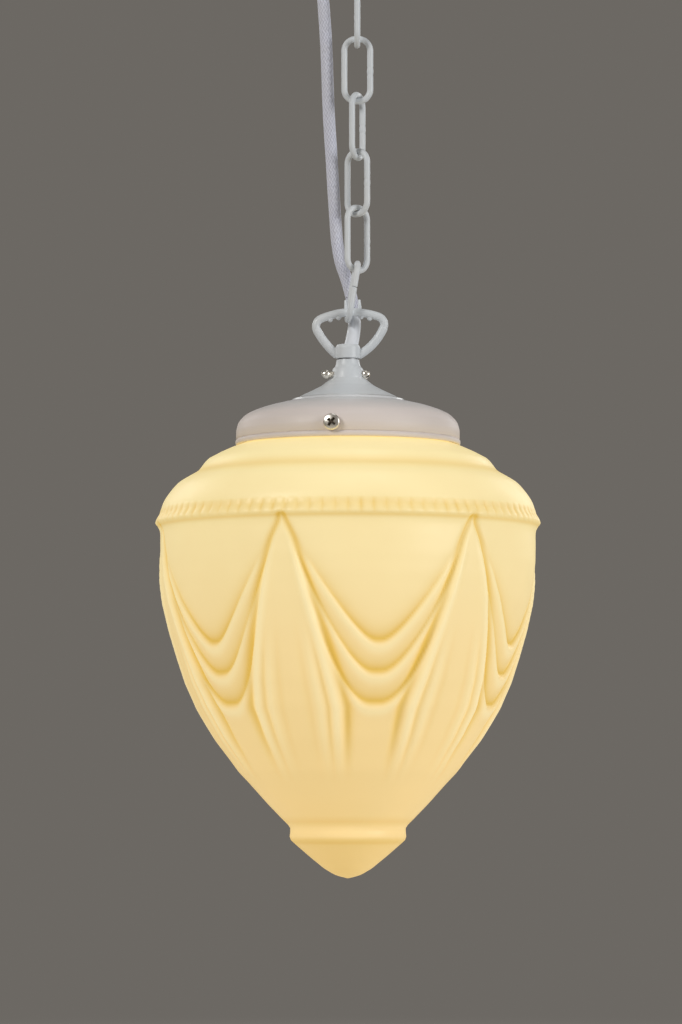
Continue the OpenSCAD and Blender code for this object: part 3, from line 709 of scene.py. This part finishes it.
def add_gallery(materials):
    """The gallery as spun sheet: a cone, a small step at the crease, a shoulder, a skirt and a hem."""
    outline = outline_of("gallery")
    rim = outline[:, 1].min()
    skirt = outline[outline[:, 1] > rim + 3.2 * MM]
    skirt_r = skirt[:, 0].max()
    crease = np.argmin(np.abs(skirt[:, 0] - CREASE_R))
    cone = smooth_line(skirt[:crease + 1], 6)
    shoulder = smooth_line(skirt[crease:], 6)
    plain = np.vstack([cone, shoulder[1:]])
    crease_at = lengths_along(cone)[-1]
    wanted = np.union1d(lengths_along(plain), crease_at + MM * np.linspace(-6, 6, 49))
    from_crease = (wanted - crease_at) / MM
    step = -CREASE_STEP * np.tanh(from_crease / 0.4) * np.exp(-(from_crease / 3) ** 2)
    outer = moved_out(at_lengths(plain, wanted), step * MM)
    inner = moved_out(plain, -SHEET)[::-1]
    hem = np.array([skirt_r, rim]) + HEM
    bore_edge = np.array([[nipple_bore(), outer[0, 1]]])
    closed = np.vstack([bore_edge, outer, hem, inner, bore_edge - [[0, SHEET]]])
    directions = [np.array(joints[f"shade_screw_{k}_out"]["axis"]) for k in (1, 2, 3)]
    height, tip, _, top, shank_r, _ = screw_fit("shade_screw_1", directions[0])
    plate = lathe("spun_gallery", closed, 192)
    spun = drilled(plate, directions, height, shank_r + HOLE_GAP, tip, top)
    finish_piece(spun, "lamp", materials["white_paint"], "white_paint", "gallery")


def neck_directions():
    return [np.array([math.cos(a), math.sin(a), 0]) for a in np.radians(NECK_SCREW_AZIMUTHS)]


def add_hub(materials):
    outer = smooth_line(outline_of("hub"), 5)
    bore = nipple_bore()
    closed = np.vstack([[[bore, outer[0, 1]]], outer, [[bore, outer[-1, 1]]]])
    directions = neck_directions()
    height, _, _, top, shank_r, _ = screw_fit("neck_screws", directions[0])
    body = lathe("turned_hub", closed, 96)
    turned = drilled(body, directions, height, shank_r + HOLE_GAP, 0, top)
    finish_piece(turned, "lamp", materials["white_paint"], "white_paint", "hub")


def screw_fit(node, direction):
    """Where a CAD screw sits: its height, tip, head and top along its direction, and its two radii."""
    points = points_of(node) - lamp_axis
    points = points[unit(points[:, :2]) @ direction[:2] > 0.8]
    height = (points[:, 2].max() + points[:, 2].min()) / 2
    along = points @ direction
    aside = np.linalg.norm(points - along[:, None] * direction - [0, 0, height], axis=1)
    head_r = aside.max()
    head = along[aside > 0.97 * head_r].min()
    shank_r = aside[along < along.min() + 0.1 * MM].max()
    return height, along.min(), head, along.max(), shank_r, head_r


def head_recess(radii, turn, head_r, crossed):
    """1 in a screw head's cross or slot and 0 outside it, for points at those radii and turns."""
    half = 0.12 * head_r
    arm = 0.52 * head_r if crossed else 2 * head_r
    a, b = np.abs(radii * np.cos(turn)), np.abs(radii * np.sin(turn))

    def cut(across, along):
        inside = 1 - smoothstep(half, half + 0.12 * MM, across)
        return inside * (1 - smoothstep(arm, arm + 0.2 * MM, along))

    return np.maximum(cut(a, b), cut(b, a)) if crossed else cut(a, b)


def screw_rings(node, direction, crossed):
    """Rings of a screw from its top inwards: a domed head with its recess, then a threaded shank."""
    height, tip, head, top, shank_r, head_r = screw_fit(node, direction)
    if not crossed:
        head -= NECK_HEAD_DEEPER
    depth = top - head
    share = np.linspace(0.02, 0.9, 26)
    rim = 0.74 if crossed else 0.5
    dome = np.stack([share * head_r, top - depth * (1 - rim) * (share / 0.9) ** 2.2], axis=1)
    edge = [(0.96, rim - 0.09), (0.99, rim - 0.2), (1, rim - 0.3), (1, 0.08), (0.97, 0)]
    edge = np.array([(r * head_r, head + h * depth) for r, h in edge])
    thread = np.arange(head - 0.2 * MM, tip + 0.3 * MM, -THREAD_PITCH / 6)
    shank = np.stack([np.full(len(thread), shank_r), thread], axis=1)
    end = [[shank_r * 0.86, tip + 0.25 * MM], [shank_r * 0.7, tip]]
    profile = np.vstack([dome, edge, [[shank_r, head]], shank, end])
    turn = np.linspace(0, 2 * math.pi, SCREW_SIDES, endpoint=False)
    radii = np.repeat(profile[:, :1], SCREW_SIDES, axis=1)
    first = len(dome) + len(edge) + 1
    winding = thread[:, None] / THREAD_PITCH + turn / (2 * math.pi)
    radii[first:first + len(thread)] -= THREAD_DEPTH * np.abs(2 * (winding % 1) - 1)
    u, v = radii * np.cos(turn), radii * np.sin(turn)
    recess = head_recess(radii, turn + RECESS_TURN, head_r, crossed)
    recess[len(dome):] = 0
    out = profile[:, 1:] - 0.5 * depth * recess
    side = np.array([-direction[1], direction[0], 0])
    rings = out[..., None] * direction + u[..., None] * side + v[..., None] * np.array([0, 0, 1])
    return rings + lamp_axis + [0, 0, height], recess


def add_screw(name, body, node, direction, crossed, materials):
    rings, recess = screw_rings(node, direction, crossed)
    screw = skin(name, rings, sharp=35)
    # Painted shade: the recess mask, 1 in the cross or slot, for the metal's material.
    store(screw, "painted_recess_shade", np.concatenate([recess.ravel(), [1, 0]]))
    finish_piece(screw, body, materials["chrome"], "chrome", node)


def add_screws(materials):
    """The three shade screws with a cross recess, and the slotted screws that lock the hub."""
    for k in (1, 2, 3):
        direction = np.array(joints[f"shade_screw_{k}_out"]["axis"])
        node = f"shade_screw_{k}"
        add_screw(f"pan_head_screw_{k}", node, node, direction, True, materials)
    for k, direction in enumerate(neck_directions(), start=1):
        add_screw(f"neck_screw_{k}", "lamp", "neck_screws", direction, False, materials)


# ---------------------------------------------------------- glass shade

PANELS = 6
GATHER_AZIMUTH = -20                        # of the first gather, in degrees from the front
FOLDS = ((60.5, 1.3), (75, 1.6), (89.5, 1.9))  # drop at the middle in mm, and how round each fold is
FOLD_DEPTH = 1.3 * MM
TAIL_SPREAD = 0.2                           # half width of a tail in degrees, per mm of drop
BEADS = 96
BEAD_COLUMNS = 6
BEAD_BAND = (3 * MM, 4 * MM)                # its middle above the ring's edge, and half its height
SHADE_WALL = 3.5 * MM
# Bands that run right round: above the ring's edge, half width, and amber (below 0 is paler). The amber in the
# shoulder's crease and just under the ring's edge is painted shade.
GLASS_BANDS = (
    (46, 3, -0.5), (38, 5, 0.12), (25.2, 2.4, 0.4), (4, 3, 0.18), (-1.6, 1, 0.5), (-146, 1.6, 0.3),
    (-155.5, 1.3, 0.55),
)
TIP_AMBER = 0.2


def folds(middle, drop):
    """Height and painted shading of a swag's three folds: a deeper tint, painted shade, in the hollow at each fold
    line, and a paler band, a painted highlight, on the raised glass below it. middle is in degrees from the swag's
    centre.
    """
    height, amber_and_painted_shading = 0, 0
    half = 180 / PANELS
    spread = (np.hypot(middle, 3) - 3) / (math.hypot(half, 3) - 3)
    bottom = np.cos(np.radians(90 * np.clip(np.abs(middle) / half, 0, 1)))
    for lowest, roundness in FOLDS:
        below = drop - lowest * (1 - spread ** roundness)
        sink = np.exp(np.minimum(below, 0) / 6)
        rise = smoothstep(-0.4, 3.2, below)
        tail_off = np.exp(-np.maximum(below, 0) / 8)
        height = height + (0.35 + 0.65 * bottom) * (2.1 * rise - 1) * sink * tail_off
        dark = np.exp(np.minimum(below, 0) / 3.4) * (1 - smoothstep(-0.6, 2.8, below))
        light = np.exp(-((below - 4) / 2.4) ** 2)
        # Painted shade in the hollow at the fold line, painted highlight on the raised glass below it.
        amber_and_painted_shading = amber_and_painted_shading + (0.18 + 1.0 * bottom ** 2) * dark - (0.15 + 0.3 * bottom) * light
    return height, amber_and_painted_shading


def tail(aside, drop):
    """Height and painted shading of the pleated tail under a gather: a deeper tint, painted shade, in its grooves,
    and paler, a painted highlight, on its edge rolls and pleats. aside is in degrees from the gather.
    """
    half = TAIL_SPREAD * np.clip(drop, 0, 92) + 0.3
    share = aside / half
    on_tail = 1 - smoothstep(0.86, 1.06, share)
    grown = smoothstep(3, 36, drop)
    pleated = smoothstep(46, 82, drop)
    edge_roll = np.exp(-((aside - 0.84 * half) / (0.09 * half + 0.5)) ** 2) * grown
    pleat = np.exp(-((share - 0.52) / 0.1) ** 2) * pleated
    between = np.exp(-((share - 0.68) / 0.055) ** 2) * pleated
    inner = np.exp(-((share - 0.3) / 0.08) ** 2) * pleated
    apart = half + 1.1 * smoothstep(0, 14, drop)
    line = np.exp(-((aside - apart) / (0.9 + 0.06 * half)) ** 2) * smoothstep(-4, 1, drop)
    height = 0.5 * on_tail * grown + 0.85 * edge_roll + 0.5 * pleat - 0.4 * between - 0.2 * inner - line
    # Painted shade in the grooves, painted highlight on the edge roll and pleat.
    amber_and_painted_shading = 0.8 * line + 0.45 * between + 0.15 * inner - 0.6 * edge_roll - 0.35 * pleat
    return height, amber_and_painted_shading, on_tail


def shade_relief(azimuth, drop, band):
    """Relief of the pressed glass in metres, and its painted shading: 1, a deep tint of painted shade, in a
    valley; below 0, paler, a painted highlight on a ridge.

    drop is in mm below the ring's edge; band goes from -1 to 1 over the height of the beads."""
    step = 360 / PANELS
    middle = (azimuth - GATHER_AZIMUTH) % step - step / 2
    fold_height, fold_painted_shading = folds(middle, drop)
    tail_height, tail_painted_shading, on_tail = tail(step / 2 - np.abs(middle), drop)
    fade = smoothstep(-3, 3, drop) * (1 - smoothstep(94, 130, drop))
    begun = smoothstep(6, 34, drop)
    height = fade * FOLD_DEPTH * (fold_height * (1 - on_tail) * begun + tail_height)
    amber_and_painted_shading = fade * np.clip(fold_painted_shading * (1 - on_tail) * begun + tail_painted_shading, -1, 1)
    bead = np.abs(np.sin(np.radians(azimuth) * BEADS / 2))
    uneven = 0.6 + 0.4 * np.sin(np.radians(azimuth) * 7 + 1) * np.sin(np.radians(azimuth) * 19)
    on_band = np.sqrt(np.clip(1 - band ** 2, 0, 1))
    height = height + 0.6 * MM * on_band * (np.sqrt(bead) - 0.55)
    # Painted shade between the beads.
    amber_and_painted_shading = amber_and_painted_shading + on_band * (0.22 + uneven * (0.42 * (1 - bead) ** 1.3 - 0.1))
    return height, amber_and_painted_shading


def add_shade(materials):
    """The pressed bowl: its wall inside, and outside its beads, swags and pleated tails."""
    outline = outline_of("glass_shade")
    outline = outline[outline[:, 0] > 0.1 * MM]
    tip_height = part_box("glass_shade")[0].z
    line = smooth_line(np.vstack([outline, [[0.3 * MM, tip_height]]]), 8)
    along = lengths_along(line)
    widest = np.argmax(line[:, 0])
    ring_at, ring_height = along[widest], line[widest, 1]
    steps = [(0, ring_at - 9 * MM, 2 * MM), (ring_at - 9 * MM, ring_at + 3 * MM, 0.6 * MM),
             (ring_at + 3 * MM, ring_at + 138 * MM, 1.15 * MM), (ring_at + 138 * MM, along[-1], 2 * MM)]
    wanted = np.concatenate([np.arange(*step) for step in steps] + [[along[-1]]])
    outer = at_lengths(line, wanted)
    sides = BEADS * BEAD_COLUMNS
    rings = spun_rings(outer, sides)
    outward = (moved_out(outer, MM) - outer) / MM
    azimuth = np.linspace(0, 360, sides, endpoint=False)[None, :]
    above = outer[:, 1] - ring_height
    band = (above - BEAD_BAND[0]) / BEAD_BAND[1]
    height, amber_and_painted_shading = shade_relief(azimuth, -above[:, None] / MM, band[:, None])
    # The bands' tints, with painted shade in the shoulder's crease and under the ring's edge.
    for where, half_width, depth in GLASS_BANDS:
        amber_and_painted_shading = amber_and_painted_shading + depth * np.exp(-((above[:, None] / MM - where) / half_width) ** 2)
    amber_and_painted_shading = amber_and_painted_shading + TIP_AMBER * (1 - smoothstep(-157, -155, above / MM))[:, None]
    turn = np.radians(azimuth)
    rings[:, :, 0] += height * outward[:, :1] * np.sin(turn)
    rings[:, :, 1] -= height * outward[:, :1] * np.cos(turn)
    rings[:, :, 2] += height * outward[:, 1:]
    inner = outer[::8] - outward[::8] * SHADE_WALL
    inner = inner[inner[:, 0] > 0.5 * MM][::-1]
    hidden = spun_rings(inner, sides)
    shade = skin("shade_glass_bowl", np.concatenate([hidden, rings]))
    amber_and_painted_shading = np.concatenate([np.zeros(hidden.shape[0] * sides), amber_and_painted_shading.ravel(), [0, 0]])
    # The tint with its painted shade and highlights, for the glass's material.
    store(shade, "valley", np.clip(amber_and_painted_shading, -1, 1))
    finish_piece(shade, "lamp", materials["shade_glass"], "shade_glass", "glass_shade")


# ------------------------------------------------------ floor and lights


FLOOR_R = 1.4
FLOOR_BELOW = 0.12                          # the lamp's tip


def add_floor(height):
    """A pale round floor that fades out into the backdrop."""
    material, tree, shader = new_material("floor")
    pale = blend_colours(tree, noise(tree, 0.3, 4), (0.64, 0.625, 0.6), (0.68, 0.665, 0.64))
    tree.links.new(pale, shader.inputs["Base Color"])
    shader.inputs["Roughness"].default_value = 0.7
    tree.links.new(bump(tree, noise(tree, 0.012, 4), 0.4 * MM, 0.3), shader.inputs["Normal"])
    distance = add(tree, "ShaderNodeVectorMath", {0: place(tree)}, operation="LENGTH").outputs["Value"]
    clear = add(tree, "ShaderNodeBsdfTransparent").outputs[0]
    share = add(tree, "ShaderNodeMapRange", {"Value": distance, "From Min": 0.5, "From Max": 1.35},
                interpolation_type="SMOOTHERSTEP").outputs[0]
    inputs = {0: share, 1: shader.outputs[0], 2: clear}
    mixed = add(tree, "ShaderNodeMixShader", inputs).outputs[0]
    tree.links.new(mixed, tree.nodes["Material Output"].inputs["Surface"])
    mesh = bpy.data.meshes.new("floor")
    work = bmesh.new()
    bmesh.ops.create_circle(work, cap_ends=True, segments=96, radius=FLOOR_R)
    work.to_mesh(mesh)
    work.free()
    floor = bpy.data.objects.new("floor", mesh)
    floor.location = (lamp_x, 0, height)
    mesh.materials.append(material)
    bpy.context.scene.collection.objects.link(floor)


def add_light(name, place_at, aim, size, power, colour=(1, 1, 1), shine=1.0):
    data = bpy.data.lights.new(name, "AREA")
    data.shape, data.size, data.energy, data.color = "DISK", size, power, colour
    data.specular_factor = shine
    light = bpy.data.objects.new(name, data)
    light.location = place_at
    light.rotation_mode = "QUATERNION"
    light.rotation_quaternion = (Vector(aim) - Vector(place_at)).to_track_quat("-Z", "Y")
    bpy.context.scene.collection.objects.link(light)


def add_studio():
    middle = (lamp_x, 0, (cad_low.z + cad_high.z) / 2)
    add_light("key", (-1.9, -1.9, 1.1), middle, 1.1, 36, (1, 0.985, 0.96), shine=0.5)
    add_light("fill", (2.2, -1.3, 0.2), middle, 1.6, 30, (0.98, 0.99, 1), shine=0.3)
    add_light("back_left", (-1.9, 1.9, 0.9), middle, 1.4, 9, shine=0.2)
    add_light("back_right", (1.6, 2.1, 0.6), middle, 1.4, 8, shine=0.2)
    add_light("overhead", (0.2, -0.3, 1.9), middle, 1.0, 6, shine=0.15)
    world = bpy.data.worlds.new("backdrop")
    world.use_nodes = True
    world.node_tree.nodes["Background"].inputs["Color"].default_value = (0.150, 0.139, 0.125, 1)
    bpy.context.scene.world = world
    bpy.context.scene.view_settings.view_transform = "Standard"


# ------------------------------------------------------------- assembly

add_camera()
materials = make_materials()
add_flex(materials)
add_chain(materials)
add_shade(materials)
add_gallery(materials)
add_hub(materials)
add_screws(materials)
loop = remeshed("cast_hook_loop", "hook_loop", 0.2 * MM, 8)
finish_piece(loop, "lamp", materials["white_paint"], "white_paint", "hook_loop")

for name, cad in nodes.items():
    cad.data.materials.clear()
    cad.data.materials.append(materials[slot_of[name]])

add_floor(cad_low.z - FLOOR_BELOW)
add_studio()
